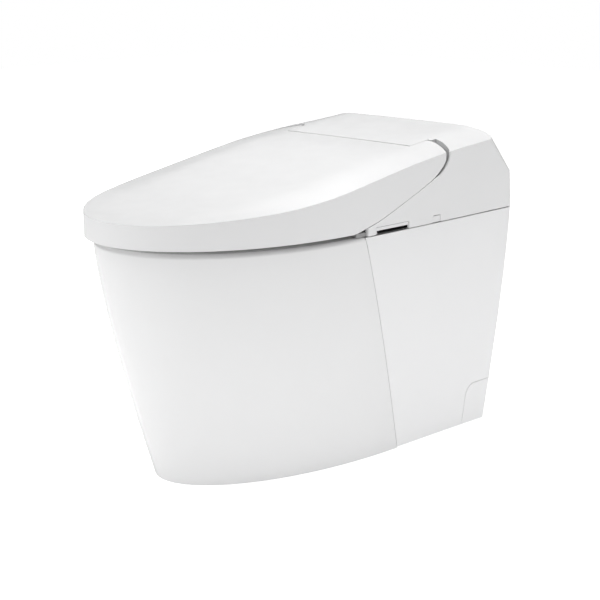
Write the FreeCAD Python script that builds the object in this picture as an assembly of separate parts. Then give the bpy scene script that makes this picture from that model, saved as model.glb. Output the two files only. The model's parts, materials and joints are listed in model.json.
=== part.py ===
"""Floor-standing smart toilet with a heated seat.

Row frame in millimetres: +X is the side with the filter slot, -Y is the front, +Z is up.
The origin is the middle of the footprint box, on the floor.
"""
import FreeCAD, Part
import math
import os

V = FreeCAD.Vector

# Overall
LENGTH = 700.0
WIDTH = 392.0
DECK_Z = 369.0
FRONT_Y = -LENGTH / 2
REAR_Y = LENGTH / 2
HALF = WIDTH / 2

# Plan outline of the lid and the upper housing
NOSE_END_Y = -29.5
NOSE_LENGTH_POWER = 2.22
NOSE_WIDTH_POWER = 2.03
TAPER_START_Y = 57.0
TAPER_POWER = 1.5
REAR_HALF = 188.0
REAR_CORNER_R = 12.0
TOP_CORNER_R = 42.0

# Rear face of the upper housing: upright, then a slanted facet up to the top
FACET_LOW_Z = 428.0
FACET_LOW_Y = 345.0
FACET_TOP_Z = 504.0
FACET_TOP_Y = 294.0

# Top surface
CRISP_EDGE = ((-350.0, 410.0), (-262.0, 416.5), (-170.0, 424.0), (-85.0, 435.0), (9.0, 451.5),
              (101.0, 467.0), (200.0, 478.1), (288.0, 484.6))
SHOULDER_INSET = 55.0
SHOULDER_SOFTNESS = 6.0
SHOULDER_START_Y = -330.0
SHOULDER_FULL_Y = -85.0
SHOULDER_RISE = 8.0
SHOULDER_REAR_Y = 150.0
SHOULDER_REAR_EXTRA = 6.5
CROWN = 1.2

# Lower body: the skirt flares from a small foot to the rim
FLARE_POWER = 1.35
FOOT_FRONT_Y = -248.0
FOOT_HALF = 151.0
FOOT_NOSE_END_Y = 119.0
FOOT_NOSE_LENGTH_POWER = 2.19
FOOT_NOSE_WIDTH_POWER = 1.94
FOOT_REAR_Y = 338.0
RIM_FRONT_Y = -334.0
RIM_HALF = 194.5
RIM_NOSE_END_Y = -14.0
RIM_REAR_Y = 349.5
RIM_ROUND = 6.0
BODY_CORNER_R = 12.0
BODY_LEVELS = (0.0, 45.0, 100.0, 160.0, 220.0, 280.0, 330.0, DECK_Z)

# Seam between the ceramic and the side covers: a slanted plane
SEAM_TOP_Y = -20.0
SEAM_SLOPE = 0.352
SEAM_GAP = 1.0

# Ceramic
SKIRT_WALL = 12.0
DECK_THICK = 22.0
DECK_INSET = 8.0
DECK_REAR_Y = 318.0
BASIN_WALL = 10.0
BASIN_Y = -118.0
BASIN_LEVELS = ((DECK_Z, 150.0, 114.0, 0.0), (345.0, 156.0, 121.0, 0.0), (300.0, 152.0, 120.0, 0.0),
                (240.0, 133.0, 106.0, -2.0), (180.0, 103.0, 84.0, -6.0), (125.0, 70.0, 62.0, -10.0),
                (84.0, 46.0, 44.0, -12.0))
BASIN_POWER = 2.35
SUMP_FLOOR_Z = 50.0
NOTCH_HALF = 98.0
NOTCH_FRONT_Y = -45.0
NOTCH_REAR_Y = 29.0
NOTCH_LOW_Z = 329.0
TRAP_BORE_R = 26.0
TRAP_WALL = 8.0
TRAP_BEND_R = 36.5
OUTLET_Y = 45.0
HORN_LOW_Z = 6.0
TRAP_LOW_Z = 77.0
TRAP_CREST_Z = 190.0
TRAP_RISE_Y = -50.0
TRAP_LEAN_Y = 22.0
WEB_X = 58.0
WEB_THICK = 14.0
WEB_FRONT_Y = 60.0
WEB_REAR_Y = 250.0
FOOT_THICK = 16.0
FOOT_OUT_X = 112.0
FOOT_REACH_Y = 120.0
TIE_DEPTH = 20.0
BRIDGE_Y = (39.0, 85.0)
BRIDGE_Z = (60.0, 76.0)
BOLT_X = 92.0
BOLT_Y = 80.0
BOLT_HOLE_R = 6.0
SEAL_R = 50.0
SEAL_HIGH_Z = 18.0

# Side covers
COVER_WALL = 3.0
COVER_LOW_Z = 2.0
COVER_TOP_GAP = 1.3
COVER_MID_GAP = 1.0
SERVICE_HALF = 78.0
SERVICE_HIGH_Z = 190.0
SERVICE_CORNER_R = 24.0
PLATE_FRONT_Y = 273.0
PLATE_HIGH_Z = 73.0
PLATE_CORNER_R = 20.0
PLATE_GAP = 0.7
CLIP_Y = (60.0, 170.0, 275.0)
CLIP_SIZE = 18.0
CLIP_THICK = 4.0
CLIP_REACH = 30.0

# Electric unit: base plate and the nose that reaches into the basin
UNIT_GAP = 0.5
UNIT_PLATE = 3.0
UNIT_WALL = 3.0
UNIT_FRONT_Y = 8.0
UNIT_SIDE_FRONT_Y = -15.0
NOSE_BLOCK_HALF = 92.0
NOSE_BLOCK_FRONT_Y = -12.0
NOSE_BLOCK_REAR_Y = 24.0
NOSE_BLOCK_LOW_Z = 335.0
NOSE_BLOCK_WALL = 2.5
NOSE_BLOCK_CHAMFER = 9.0

# Front slope of the housing, hidden under the lid
SLOPE_LOW_Z = 390.0
SLOPE_HIGH_Y = 118.0
SLOPE_HIGH_Z = 450.0
FLANK_WALL = 6.0
PARTING_Y = 148.0
PARTING_GAP = 0.8

# Hinge
HINGE_Y = 139.0
HINGE_Z = 471.0
HINGE_GROOVE_R = 15.2
PIN_R = 3.0
PIN_CLEARANCE = 0.05
EYE_R = 5.6
BOSS_R = 5.4
LUG_X = (99.0, 110.6)
EYE_X = (111.0, 123.4)
BOSS_X = (135.4, 158.0)
DAMPER_X = (52.0, 98.6)

# Ears of the lid and the pockets they swing into
EAR_INNER_X = 134.4
EAR_EDGE = ((134.4, 187.5), (140.0, 189.8), (150.6, 188.6), (158.6, 186.0), (170.6, 181.0), (181.0, 175.3),
            (191.0, 168.0), (201.0, 160.0))
POCKET_EDGE = ((141.0, 203.5), (151.5, 201.6), (163.2, 197.0), (177.6, 188.2), (191.0, 177.6))
POCKET_NECK = (133.6, 193.5)
POCKET_FRONT_Y = 130.0
POCKET_LOW_Z = 400.0

# Lid
LID_WALL = 2.5
CHEEK_EDGE = ((-52.0, 376.0), (-40.0, 376.8), (-30.0, 379.0), (-18.0, 382.3), (-2.0, 386.0), (34.0, 397.9),
              (70.0, 411.7), (100.0, 423.0), (124.0, 433.0), (137.0, 439.0), (146.0, 444.8), (154.0, 450.6),
              (161.0, 457.4), (165.0, 463.2), (166.5, 468.0), (166.7, 472.0))
EAR_UNDER_Z = 472.0
LINER_GAP = 0.3
LINER_WALL = 2.3
LINER_DROP = 6.0
LINER_REAR_Y = 118.0
LINER_LOW_Z = 379.0

# Flank edge of the housing, below the lid's cheek
FLANK_EDGE = ((-15.5, 381.9), (-2.0, 385.0), (34.0, 397.1), (70.0, 411.1), (100.0, 422.4), (124.0, 432.0),
              (134.0, 436.1), (143.9, 440.1), (153.7, 443.9), (162.0, 449.9), (169.4, 457.3), (174.2, 464.0),
              (175.5, 470.1), (175.0, 476.0))

# Seat
SEAT_INSET = 9.0
SEAT_LOW_Z = 379.5
SEAT_SPLIT_Z = 383.0
SEAT_HIGH_Z = 398.0
SEAT_REAR_Y = 4.0
SEAT_ROUND = 7.0
SEAT_WALL = 2.8
SEAT_HOLE_Y = -130.0
SEAT_HOLE_LENGTH = 140.0
SEAT_HOLE_WIDTH = 105.0
SEAT_HOLE_POWER = 2.4
ARM_FOOT = (-20.0, 393.0)
ARM_THICK = 10.0
ARM_INNER_X = 84.0
ARM_STEP_Y = 96.0
HEATER_THICK = 0.5
BUMPER_R = 7.0
BUMPER_GAP = 0.3
SEAT_BUMPERS = ((150.0, -60.0), (95.0, -255.0))
SIDE_PAD_X = (176.0, 192.0)
SIDE_PAD_Y = (-37.0, -15.5)
SIDE_PAD_HIGH_Z = 375.5
LID_BUMPERS = ((60.0, -300.0), (122.0, -225.0))

# Wand
WAND_ANGLE = 30.0
WAND_PORT = (-12.0, 358.5)
WAND_R = 6.5
WAND_BORE_R = 4.0
WAND_LENGTH = 122.0
WAND_TIP = 24.0
WAND_PLAY = 0.4
WAND_PASS = 1.5
WAND_CAP_R = 9.5
WAND_CAP_THICK = 2.0
GUIDE_WALL = 2.4
GUIDE_START = 36.0
GUIDE_END = 126.0
WAND_MOTOR_R = 13.0
WAND_MOTOR_LENGTH = 22.0

# Dryer and deodoriser
FAN_Y = 100.0
FAN_LOW_Z = 374.5
FAN_HEIGHT = 26.0
FAN_WALL = 2.0
DRYER_X = -78.0
DRYER_R = 36.0
DEODORISER_X = 74.0
DEODORISER_R = 29.0
FAN_BLADES = 11
FAN_SHAFT_R = 2.5
BLADE_ROOT = 0.55
BLADE_PIVOT = 0.75
BLADE_PITCH = 28.0
BLADE_HALF = 0.7
ROTOR_PLAY = 1.0
PORT_X = (30.0, 72.0)
PORT_Z = (346.5, 362.5)
FLAP_GAP = 0.5
FLAP_THICK = 2.0
FLAP_PIN_R = 1.4
DUCT_WALL = 1.6

# Filter cartridge in the +X flank
FILTER_Y = (2.6, 78.0)
FILTER_Z = (370.0, 380.0)
FILTER_BODY_Y = (11.5, 77.9)
FILTER_INNER_X = 128.0
FILTER_SLOT_Y = (4.2, 77.0)
FILTER_SLOT_HIGH_Z = 375.2
FILTER_GAP = 0.5
FILTER_FACE = 3.0
FILTER_SET_BACK = 0.2
FILTER_WALL = 1.5
FINGER_DEPTH = 12.0
FINGER_FLOOR = 0.6
NOTCH_WIDE = 1.6
NOTCH_HIGH_Z = 379.2

# Release tab in the +X flank
TAB_Y = (135.8, 153.2)
TAB_Z = (370.0, 379.8)
TAB_DEPTH = 9.0
TAB_GAP = 0.9
SPRING_R = 3.2
SPRING_WIRE = 0.7
SPRING_TURNS = 4

# Flush water and electrics
TANK_X = (78.0, 140.0)
TANK_Y = (215.0, 322.0)
TANK_Z = (72.0, 330.0)
TANK_WALL = 3.0
TANK_ROUND = 12.0
TANK_NECK_R = 14.0
PART_GAP = 0.3
PUMP_X = -104.0
PUMP_Y = 205.0
PUMP_LOW_Z = 22.0
PUMP_R = 30.0
PUMP_HEIGHT = 96.0
PUMP_FOOT = 52.0
SPOUT_X = 12.0
SPOUT_Z = 14.0
SPOUT_REACH = 42.0
JET_R = 11.0
JET_BORE_R = 6.0
JET_Z = 64.0
JET_SPIGOT = 16.0
INLET_X = -40.0
INLET_Z = 120.0
INLET_R = 10.48
INLET_THREAD = 15.0
INLET_FACE_Y = 334.0
INLET_LENGTH = 52.0
INLET_BORE_R = 6.5
NUT_THICK = 8.0
NUT_R = 16.0
STUB_R = 9.0
PANEL_THICK = 3.0
HOSE_R = 6.5
VALVE_Z = 290.0
GLAND_X = 40.0
GLAND_Z = 120.0
GLAND_R = 9.0
GLAND_BORE_R = 4.0
GLAND_LENGTH = 22.0
SCREW_HEAD_R = 4.6
SCREW_HEAD = 2.2


# Basic shapes
def box(x, y, z):
    """A block between pairs of limits."""
    return Part.makeBox(x[1] - x[0], y[1] - y[0], z[1] - z[0], V(x[0], y[0], z[0]))


def rod_x(x, y, z, r):
    return Part.makeCylinder(r, x[1] - x[0], V(x[0], y, z), V(1, 0, 0))


def rod_y(x, y, z, r):
    return Part.makeCylinder(r, y[1] - y[0], V(x, y[0], z), V(0, 1, 0))


def rod_z(x, y, z, r):
    return Part.makeCylinder(r, z[1] - z[0], V(x, y, z[0]), V(0, 0, 1))


def prism_x(points, x):
    """A YZ polygon drawn out along X."""
    corners = [V(x[0], y, z) for y, z in points]
    return Part.Face(Part.makePolygon(corners + corners[:1])).extrude(V(x[1] - x[0], 0, 0))


def spline(points):
    curve = Part.BSplineCurve()
    curve.interpolate(points)
    return curve.toShape()


def curved_prism_x(curve, corners, x):
    """A YZ area, bounded by a smooth curve and straight sides through the corners, drawn out along X."""
    smooth = spline([V(x[0], y, z) for y, z in curve])
    ends = [V(x[0], *curve[-1])] + [V(x[0], y, z) for y, z in corners] + [V(x[0], *curve[0])]
    sides = [Part.makeLine(a, b) for a, b in zip(ends, ends[1:])]
    return Part.Face(Part.Wire([smooth] + sides)).extrude(V(x[1] - x[0], 0, 0))


def curved_prism_z(curve, corners, z):
    """An XY area, bounded by a smooth curve and straight sides through the corners, drawn out along Z."""
    smooth = spline([V(x, y, z[0]) for x, y in curve])
    ends = [V(*curve[-1], z[0])] + [V(x, y, z[0]) for x, y in corners] + [V(*curve[0], z[0])]
    sides = [Part.makeLine(a, b) for a, b in zip(ends, ends[1:])]
    return Part.Face(Part.Wire([smooth] + sides)).extrude(V(0, 0, z[1] - z[0]))


def mirrored(shape):
    return shape.mirror(V(0, 0, 0), V(1, 0, 0))


def both_sides(shape):
    return shape.fuse(mirrored(shape))


def union(shapes):
    return shapes[0].fuse(shapes[1:]).removeSplitter()


def turned_tube(points, r, bends):
    """A round bar along straight runs joined by tangent arcs, one bend radius for each inner point."""
    edges = []
    start = points[0]
    for before, corner, after, bend in zip(points, points[1:], points[2:], bends):
        back = (before - corner).normalize()
        ahead = (after - corner).normalize()
        half_turn = (math.pi - back.getAngle(ahead)) / 2
        reach = bend * math.tan(half_turn)
        first = corner + back * reach
        last = corner + ahead * reach
        centre = corner + (back + ahead).normalize() * (bend / math.cos(half_turn))
        middle = centre + (corner - centre).normalize() * bend
        edges.append(Part.makeLine(start, first))
        edges.append(Part.Arc(first, middle, last).toShape())
        start = last
    edges.append(Part.makeLine(start, points[-1]))
    path = Part.Wire(edges)
    ring = Part.Wire(Part.makeCircle(r, points[0], points[1] - points[0]))
    return path.makePipeShell([ring], True, False)


# Plan outlines
def nose_points(half, front, end, length_power, width_power, z):
    """Quarter outline from the nose's tip to where the side runs straight."""
    points = []
    steps = 10
    for i in range(steps + 1):
        a = i / steps * math.pi / 2
        x = half * math.sin(a) ** (2 / width_power)
        y = end - (end - front) * math.cos(a) ** (2 / length_power) if i < steps else end
        points.append(V(x, y, z))
    return points


def plan_wire(half_outline, corner_r):
    """Closed outline from the points of one half, nose tip to rear corner, its mirror and a straight rear."""
    z = half_outline[0].z
    left = [V(-p.x, p.y, z) for p in reversed(half_outline[1:])]
    flank = spline(left + half_outline)
    end = half_outline[-1]
    centre = V(end.x - corner_r, end.y, z)
    middle = centre + V(1, 1, 0).normalize() * corner_r
    corner = Part.Arc(end, middle, V(centre.x, centre.y + corner_r, z)).toShape()
    rear = Part.makeLine(V(centre.x, centre.y + corner_r, z), V(-centre.x, centre.y + corner_r, z))
    return Part.Wire([flank, corner, rear, mirrored(corner)])


def upper_half(y):
    """Half width of the lid and the housing behind the nose."""
    share = max(0.0, (y - TAPER_START_Y) / (REAR_Y - TAPER_START_Y))
    return HALF - (HALF - REAR_HALF) * share ** TAPER_POWER


def upper_wire(z, rear, corner_r, inset):
    nose = nose_points(HALF - inset, FRONT_Y + inset, NOSE_END_Y, NOSE_LENGTH_POWER, NOSE_WIDTH_POWER, z)
    end = rear - corner_r
    middle = (NOSE_END_Y + TAPER_START_Y) / 2
    stations = [middle, TAPER_START_Y] + [TAPER_START_Y + (end - TAPER_START_Y) * i / 3 for i in (1, 2, 3)]
    return plan_wire(nose + [V(upper_half(y) - inset, y, z) for y in stations], corner_r)


def upper_envelope(inset):
    """The lid and housing together, with upright sides, before the top surface cuts them."""
    levels = ((DECK_Z - 20, REAR_Y, REAR_CORNER_R), (DECK_Z + UNIT_GAP, REAR_Y, REAR_CORNER_R),
              (FACET_LOW_Z, FACET_LOW_Y, REAR_CORNER_R), (FACET_TOP_Z, FACET_TOP_Y, TOP_CORNER_R))
    wires = [upper_wire(z, rear - inset, r, inset) for z, rear, r in levels]
    return Part.makeLoft(wires, True, True, False)


def smooth_between(points, y):
    """Height along a run of points, each stretch eased by the slopes beside it."""
    n = max(0, min(len(points) - 2, sum(1 for p in points if p[0] <= y) - 1))
    (y0, z0), (y1, z1) = points[n], points[n + 1]
    slopes = [(b[1] - a[1]) / (b[0] - a[0]) for a, b in zip(points, points[1:])]
    here = slopes[n]
    left = (slopes[n - 1] + here) / 2 if n else here
    right = (slopes[n + 1] + here) / 2 if n + 1 < len(slopes) else here
    t = (y - y0) / (y1 - y0)
    h = y1 - y0
    return ((2 * t**3 - 3 * t**2 + 1) * z0 + (t**3 - 2 * t**2 + t) * h * left
            + (3 * t**2 - 2 * t**3) * z1 + (t**3 - t**2) * h * right)


def upper_edge_half(y):
    """Half width of the lid and the housing at any station, nose included."""
    if y >= NOSE_END_Y:
        return upper_half(y)
    share = min(1.0, max(0.0, (y - FRONT_Y) / (NOSE_END_Y - FRONT_Y)))
    return HALF * (1 - (1 - share) ** NOSE_LENGTH_POWER) ** (1 / NOSE_WIDTH_POWER)


def eased(t):
    t = min(1.0, max(0.0, t))
    return t * t * (3 - 2 * t)


def top_height(x, y):
    """Crisp edge height, plus a shoulder that rises inwards and fades out towards the nose."""
    inward = (upper_edge_half(y) - abs(x)) / SHOULDER_INSET
    soft = math.log(1 + math.exp(SHOULDER_SOFTNESS * (1 - inward))) / SHOULDER_SOFTNESS
    level = math.log(1 + math.exp(SHOULDER_SOFTNESS)) / SHOULDER_SOFTNESS
    climb = (level - soft) / level
    rise = SHOULDER_RISE * eased((y - SHOULDER_START_Y) / (SHOULDER_FULL_Y - SHOULDER_START_Y))
    rise += SHOULDER_REAR_EXTRA * max(0.0, (y - SHOULDER_REAR_Y) / (FACET_TOP_Y - SHOULDER_REAR_Y))
    crown = CROWN * (1 - (x / HALF) ** 2) * eased((y - FRONT_Y) / (SHOULDER_FULL_Y - FRONT_Y))
    return smooth_between(CRISP_EDGE, y) + rise * climb + crown


def above_top(drop):
    """Everything over the top surface, lowered by a drop."""
    margin = 12.0
    rows = 30
    columns = 25
    grid = []
    for i in range(rows + 1):
        y = FRONT_Y - margin + (LENGTH + 2 * margin) * i / rows
        row = []
        for j in range(columns + 1):
            x = -HALF - margin + (WIDTH + 2 * margin) * j / columns
            row.append(V(x, y, top_height(x, y) - drop))
        grid.append(row)
    surface = Part.BSplineSurface()
    surface.interpolate(grid)
    return surface.toShape().extrude(V(0, 0, LENGTH))


def body_wire(z, inset):
    """Outline of the lower body at a height."""
    k = 1 - (1 - min(1.0, z / DECK_Z)) ** FLARE_POWER

    def mix(low, high):
        return low + (high - low) * k

    half = mix(FOOT_HALF, RIM_HALF) - inset
    nose_end = mix(FOOT_NOSE_END_Y, RIM_NOSE_END_Y)
    nose = nose_points(half, mix(FOOT_FRONT_Y, RIM_FRONT_Y) + inset, nose_end,
                       mix(FOOT_NOSE_LENGTH_POWER, NOSE_LENGTH_POWER),
                       mix(FOOT_NOSE_WIDTH_POWER, NOSE_WIDTH_POWER), z)
    rear_half = mix(FOOT_HALF + 2, REAR_HALF) - inset
    end = mix(FOOT_REAR_Y, RIM_REAR_Y) - inset - BODY_CORNER_R
    side = []
    for i in range(1, 5):
        share = i / 4
        side.append(V(half + (rear_half - half) * share ** 2, nose_end + (end - nose_end) * share, z))
    return plan_wire(nose + side, BODY_CORNER_R)


def body_envelope(inset, low=0.0, high=DECK_Z):
    """The lower body between two heights."""
    between = [z for z in BODY_LEVELS if low < z < high]
    return Part.makeLoft([body_wire(z, inset) for z in [low] + between + [high]], True, False, False)


def behind_seam(gap):
    """Everything behind the slanted seam between the ceramic and the side covers."""
    far = LENGTH
    low = -20.0
    high = DECK_Z + 20.0
    reach = [(SEAM_TOP_Y + gap + SEAM_SLOPE * (DECK_Z - z), z) for z in (low, high)]
    return prism_x(reach + [(far, high), (far, low)], (-far, far))


def oval(y, length, width, z, power):
    """Closed superellipse in plan."""
    points = []
    steps = 28
    for i in range(steps):
        a = 2 * math.pi * i / steps
        across = math.copysign(abs(math.sin(a)) ** (2 / power), math.sin(a)) * width
        along = math.copysign(abs(math.cos(a)) ** (2 / power), math.cos(a)) * length
        points.append(V(across, y + along, z))
    curve = Part.BSplineCurve()
    curve.interpolate(Points=points, PeriodicFlag=True)
    return Part.Wire(curve.toShape())


def along_wand(distance, across=0.0):
    """A point on the wand's axis, measured up and back from the port."""
    a = math.radians(WAND_ANGLE)
    return V(across, WAND_PORT[0] + distance * math.cos(a), WAND_PORT[1] + distance * math.sin(a))


def wand_rod(start, end, r):
    return Part.makeCylinder(r, end - start, along_wand(start), along_wand(1) - along_wand(0))


# Ceramic and its covers
def basin_solid(grow):
    wires = [oval(BASIN_Y + shift, length + grow, width + grow, z, BASIN_POWER)
             for z, length, width, shift in BASIN_LEVELS]
    return Part.makeLoft(wires, True, False, False)


def trap_points():
    return [V(0, BASIN_Y - 6, TRAP_LOW_Z), V(0, TRAP_RISE_Y, TRAP_LOW_Z),
            V(0, TRAP_RISE_Y + TRAP_LEAN_Y, TRAP_CREST_Z), V(0, OUTLET_Y, TRAP_CREST_Z),
            V(0, OUTLET_Y, HORN_LOW_Z)]


def ceramic_bowl():
    outside = body_envelope(0.0)
    top_edges = [e for e in outside.Edges if e.BoundBox.ZMin > DECK_Z - 0.01]
    outside = outside.makeFillet(RIM_ROUND, top_edges)
    hollow = body_envelope(SKIRT_WALL, 0.0, DECK_Z - DECK_THICK)
    skirt = outside.cut(hollow).cut(behind_seam(0.0))
    deck = upper_deck()
    bottom = BASIN_LEVELS[-1]
    sump = rod_z(0, BASIN_Y + bottom[3], (SUMP_FLOOR_Z - BASIN_WALL, bottom[0]), bottom[2] + BASIN_WALL)
    sump_in = rod_z(0, BASIN_Y + bottom[3], (SUMP_FLOOR_Z, bottom[0]), bottom[2] - 2)
    notch_out = box((-NOTCH_HALF - BASIN_WALL, NOTCH_HALF + BASIN_WALL),
                    (NOTCH_FRONT_Y, NOTCH_REAR_Y + BASIN_WALL), (NOTCH_LOW_Z - BASIN_WALL, DECK_Z - 1))
    notch = box((-NOTCH_HALF, NOTCH_HALF), (NOTCH_FRONT_Y, NOTCH_REAR_Y), (NOTCH_LOW_Z, DECK_Z + 5))
    bends = [TRAP_BEND_R] * 3
    trap = turned_tube(trap_points(), TRAP_BORE_R + TRAP_WALL, bends)
    trap_in = turned_tube(trap_points(), TRAP_BORE_R, bends)
    horn_cut = rod_z(0, OUTLET_Y, (0, HORN_LOW_Z + 1), TRAP_BORE_R)
    under_deck = DECK_Z - DECK_THICK + 1
    webs = both_sides(box((WEB_X, WEB_X + WEB_THICK), (WEB_FRONT_Y, WEB_REAR_Y), (0, under_deck)))
    feet = both_sides(box((WEB_X, FOOT_OUT_X), (WEB_FRONT_Y, FOOT_REACH_Y), (0, FOOT_THICK)))
    tie = box((-WEB_X - 1, WEB_X + 1), (WEB_FRONT_Y, WEB_REAR_Y), (under_deck - TIE_DEPTH, under_deck))
    bridge = box((-WEB_X - 1, WEB_X + 1), BRIDGE_Y, BRIDGE_Z)
    wall_x = -bottom[2] - BASIN_WALL
    spigot = rod_x((wall_x - JET_SPIGOT, wall_x + 4), BASIN_Y + bottom[3], JET_Z, JET_R - 1)
    spigot_in = rod_x((wall_x - JET_SPIGOT - 1, 0), BASIN_Y + bottom[3], JET_Z, JET_BORE_R)
    body = skirt.fuse([deck, basin_solid(BASIN_WALL), sump, notch_out, trap, webs, feet, tie, bridge, spigot])
    holes = [rod_z(s * BOLT_X, BOLT_Y, (-1, FOOT_THICK + 1), BOLT_HOLE_R) for s in (-1, 1)]
    body = body.cut([basin_solid(0.0), sump_in, notch, trap_in, horn_cut, spigot_in] + holes)
    over = box((-HALF, HALF), (FRONT_Y, REAR_Y), (DECK_Z, DECK_Z + 40))
    return body.cut(over)


def upper_deck():
    """The ceramic's rear shelf that carries the electric unit, inside the side covers."""
    shelf = body_envelope(DECK_INSET, DECK_Z - DECK_THICK, DECK_Z)
    shelf = shelf.common(box((-HALF, HALF), (SEAM_TOP_Y - 20, DECK_REAR_Y), (0, DECK_Z)))
    return shelf


def outlet_seal():
    ring = rod_z(0, OUTLET_Y, (0, SEAL_HIGH_Z), SEAL_R)
    return ring.cut(rod_z(0, OUTLET_Y, (-1, SEAL_HIGH_Z + 1), TRAP_BORE_R + TRAP_WALL))


def corner_area(gap):
    """The removable plate's place at the lower rear corner of the +X side."""
    r = PLATE_CORNER_R
    y = PLATE_FRONT_Y - gap
    z = PLATE_HIGH_Z + gap
    area = box((SERVICE_HALF + 8 - gap, HALF), (y, REAR_Y + 5), (-5, z - r))
    area = area.fuse([box((SERVICE_HALF + 8 - gap, HALF), (y + r, REAR_Y + 5), (-5, z)),
                      rod_x((SERVICE_HALF + 8 - gap, HALF), y + r, z - r, r)])
    return area


def cover_shell():
    """The +X side cover with its corner plate still in it."""
    high = DECK_Z - COVER_TOP_GAP
    shell = body_envelope(0.0).cut(body_envelope(COVER_WALL))
    shell = shell.common(box((COVER_MID_GAP / 2, HALF), (FRONT_Y, REAR_Y), (COVER_LOW_Z, high)))
    return shell.common(behind_seam(SEAM_GAP))


def service_opening():
    r = SERVICE_CORNER_R
    y = (REAR_Y - 60, REAR_Y + 5)
    tall = box((-SERVICE_HALF, SERVICE_HALF), y, (-5, SERVICE_HIGH_Z - r))
    wide = box((-SERVICE_HALF + r, SERVICE_HALF - r), y, (-5, SERVICE_HIGH_Z))
    rounds = [rod_y(s * (SERVICE_HALF - r), y, SERVICE_HIGH_Z - r, r) for s in (-1, 1)]
    return tall.fuse([wide] + rounds)


def side_cover():
    return cover_shell().cut([service_opening(), corner_area(PLATE_GAP)])


def corner_plate():
    plate = cover_shell().common(corner_area(0.0))
    x = (SERVICE_HALF + 14, SERVICE_HALF + 30)
    tongue = box(x, (FOOT_REAR_Y - 10, FOOT_REAR_Y - COVER_WALL - 0.5), (PLATE_HIGH_Z - 24, PLATE_HIGH_Z + 8))
    root = box(x, (FOOT_REAR_Y - 10, FOOT_REAR_Y), (PLATE_HIGH_Z - 24, PLATE_HIGH_Z - 10))
    return plate.fuse(tongue.fuse(root.common(body_envelope(COVER_WALL / 2))))


def cover_clips():
    """Clips between the ceramic shelf and the covers' inner faces."""
    clips = []
    for y in CLIP_Y:
        z = (DECK_Z - DECK_THICK - CLIP_THICK, DECK_Z - DECK_THICK)
        block = box((REAR_HALF - CLIP_REACH, HALF), (y, y + CLIP_SIZE), z)
        clips.append(block.common(body_envelope(COVER_WALL)))
    return Part.makeCompound(clips + [mirrored(c) for c in clips])


# Electric unit
def slope_z(y, g):
    """Height of the housing's front slope, lowered for the inside of its wall."""
    rate = (SLOPE_HIGH_Z - SLOPE_LOW_Z) / (SLOPE_HIGH_Y - UNIT_FRONT_Y)
    return SLOPE_LOW_Z + (y - UNIT_FRONT_Y) * rate - g * math.hypot(1, rate)


def lid_space(g):
    """Where the lid and seat lie and swing, grown by a wall."""
    high = FACET_TOP_Z + 30
    wide = HALF - FLANK_WALL + 2 * g
    parting = PARTING_Y + PARTING_GAP + g
    foot = DECK_Z - 30
    front = UNIT_FRONT_Y + g
    slope = prism_x([(FRONT_Y, foot), (front, foot), (front, slope_z(front, g)),
                     (SLOPE_HIGH_Y, slope_z(SLOPE_HIGH_Y, g)), (parting, slope_z(PARTING_Y, g)),
                     (parting, high), (FRONT_Y, high)], (-wide, wide))
    groove = rod_x((-wide, wide), HINGE_Y, HINGE_Z, HINGE_GROOVE_R + g)
    shifted = [(y + 0.7 * g, z - 0.9 * g) for y, z in FLANK_EDGE]
    corners = [(shifted[-1][0], high), (FRONT_Y, high), (FRONT_Y, foot), (shifted[0][0], foot)]
    flank = curved_prism_x(shifted, corners, (HALF - FLANK_WALL - g, HALF + 10))
    edge = [(x - g if x == POCKET_EDGE[0][0] else x + g, y + g) for x, y in POCKET_EDGE]
    start = POCKET_FRONT_Y - g
    neck = (POCKET_NECK[0] - g, POCKET_NECK[1] + g)
    inner = [(edge[-1][0], start), (neck[0], start), neck, (edge[0][0], neck[1])]
    pocket = curved_prism_z(edge, inner, (POCKET_LOW_Z - g, high))
    return slope.fuse([groove, both_sides(flank), both_sides(pocket)])


def housing_solid(g):
    """The upper housing as a full block, drawn in by a wall on every side but the bottom."""
    low = DECK_Z + UNIT_GAP - (10 if g else 0)
    block = upper_envelope(g).cut(above_top(g))
    block = block.common(box((-HALF, HALF), (UNIT_SIDE_FRONT_Y + g, REAR_Y), (low, LENGTH)))
    return block.cut(lid_space(g))


def hinge_lugs():
    foot = HINGE_Z - HINGE_GROOVE_R - UNIT_WALL / 2
    lug = box(LUG_X, (HINGE_Y - EYE_R, HINGE_Y + EYE_R), (foot, HINGE_Z))
    lug = lug.fuse(rod_x(LUG_X, HINGE_Y, HINGE_Z, EYE_R))
    inner = (DAMPER_X[0] - 8, DAMPER_X[0])
    rest = box(inner, (HINGE_Y - EYE_R, HINGE_Y + EYE_R), (foot, HINGE_Z))
    return both_sides(lug.fuse([rest, rod_x(inner, HINGE_Y, HINGE_Z, EYE_R)]))


def top_cover():
    shell = housing_solid(0.0).cut(housing_solid(UNIT_WALL))
    shell = shell.fuse(hinge_lugs())
    shell = shell.cut([both_sides(rod_x((LUG_X[0] - 1, LUG_X[1] + 1), HINGE_Y, HINGE_Z, PIN_R))])
    g = FILTER_GAP
    filter_hole = box((FILTER_INNER_X - g, HALF + 5), (FILTER_Y[0] - g, FILTER_Y[1] + g),
                      (DECK_Z - 5, FILTER_Z[1] + g))
    t = TAB_GAP
    tab_hole = box((HALF - 20, HALF + 5), (TAB_Y[0] - t, TAB_Y[1] + t), (DECK_Z - 5, TAB_Z[1] + t))
    window = box((-34, 34), (SLOPE_HIGH_Y - 48, SLOPE_HIGH_Y - 30), (DECK_Z, FACET_TOP_Z))
    return shell.cut([filter_hole, tab_hole, window, wand_rod(0, 60, WAND_R + WAND_PASS)])


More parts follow.
